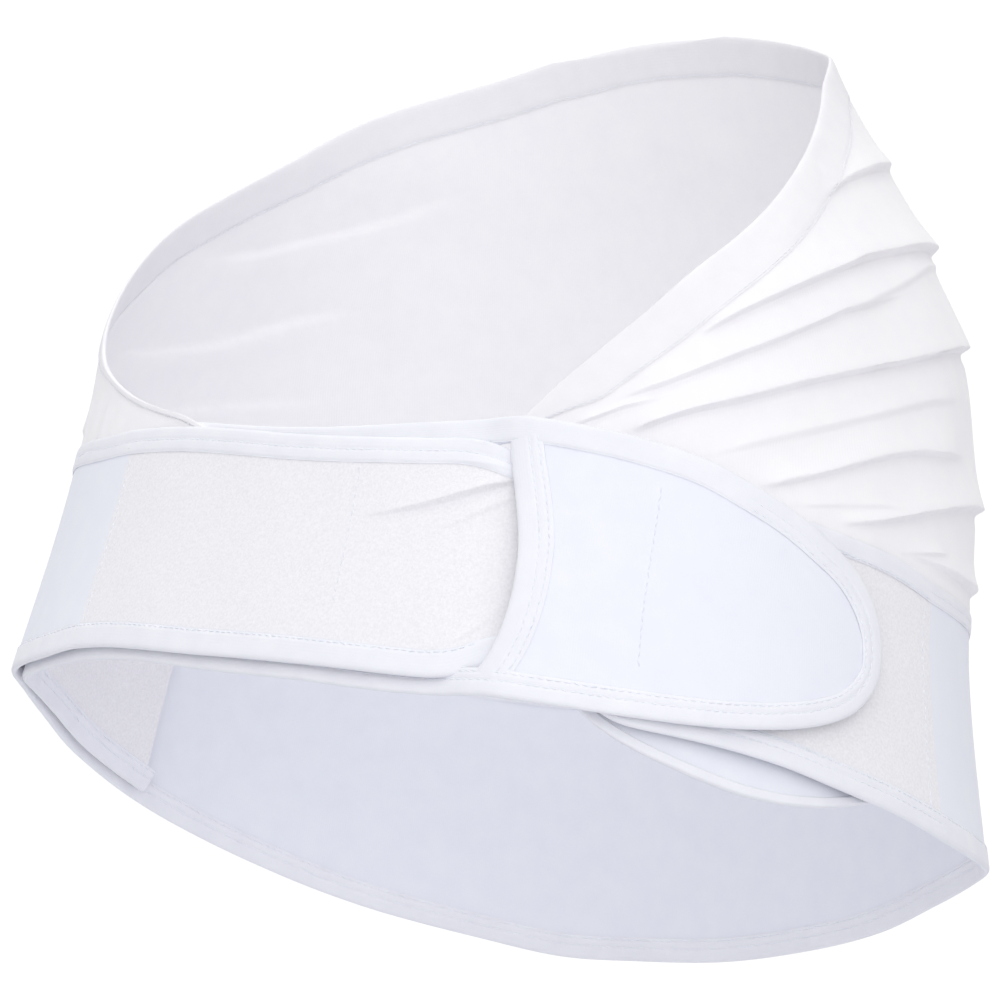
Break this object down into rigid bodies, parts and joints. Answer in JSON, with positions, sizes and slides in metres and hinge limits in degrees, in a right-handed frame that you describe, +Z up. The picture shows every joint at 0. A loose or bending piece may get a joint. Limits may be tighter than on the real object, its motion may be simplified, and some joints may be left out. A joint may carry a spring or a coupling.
{
  "type": "maternity support belt",
  "caption": "Maternity support belt: laminated hip band with hook-and-loop wings crossed through a slot, bound edges and a gathered stretch jersey back panel.",
  "frame": {"origin": "middle of the wearer's hips, on the upright line the belt is worn round, level with the front band's upper edge", "axes": "+Z up as worn, -Y to the wearer's front, +X to the wearer's left"},
  "size_m": [0.3568, 0.2709, 0.3208],
  "materials": {
    "laminate": "smooth foam-backed knit, matt white with a cool cast",
    "loop_cloth": "brushed loop cloth, white with small glints",
    "binding": "folded stretch binding, white, two stitch rows",
    "hook_cloth": "hook side of hook-and-loop cloth, white",
    "jersey": "fine stretch jersey, soft matt white"
  },
  "bodies": {
    "root": {"support_band": "laminate", "band_bottom_binding": "binding", "band_top_binding": "binding", "right_wing": "loop_cloth", "right_wing_binding": "binding", "left_wing": "loop_cloth", "left_wing_binding": "binding", "tab_wing": "laminate", "tab_wing_binding": "binding", "slot_binding": "binding", "hook_patch": "hook_cloth", "jersey_panel": "jersey", "jersey_hem": "jersey"}
  },
  "joints": []
}
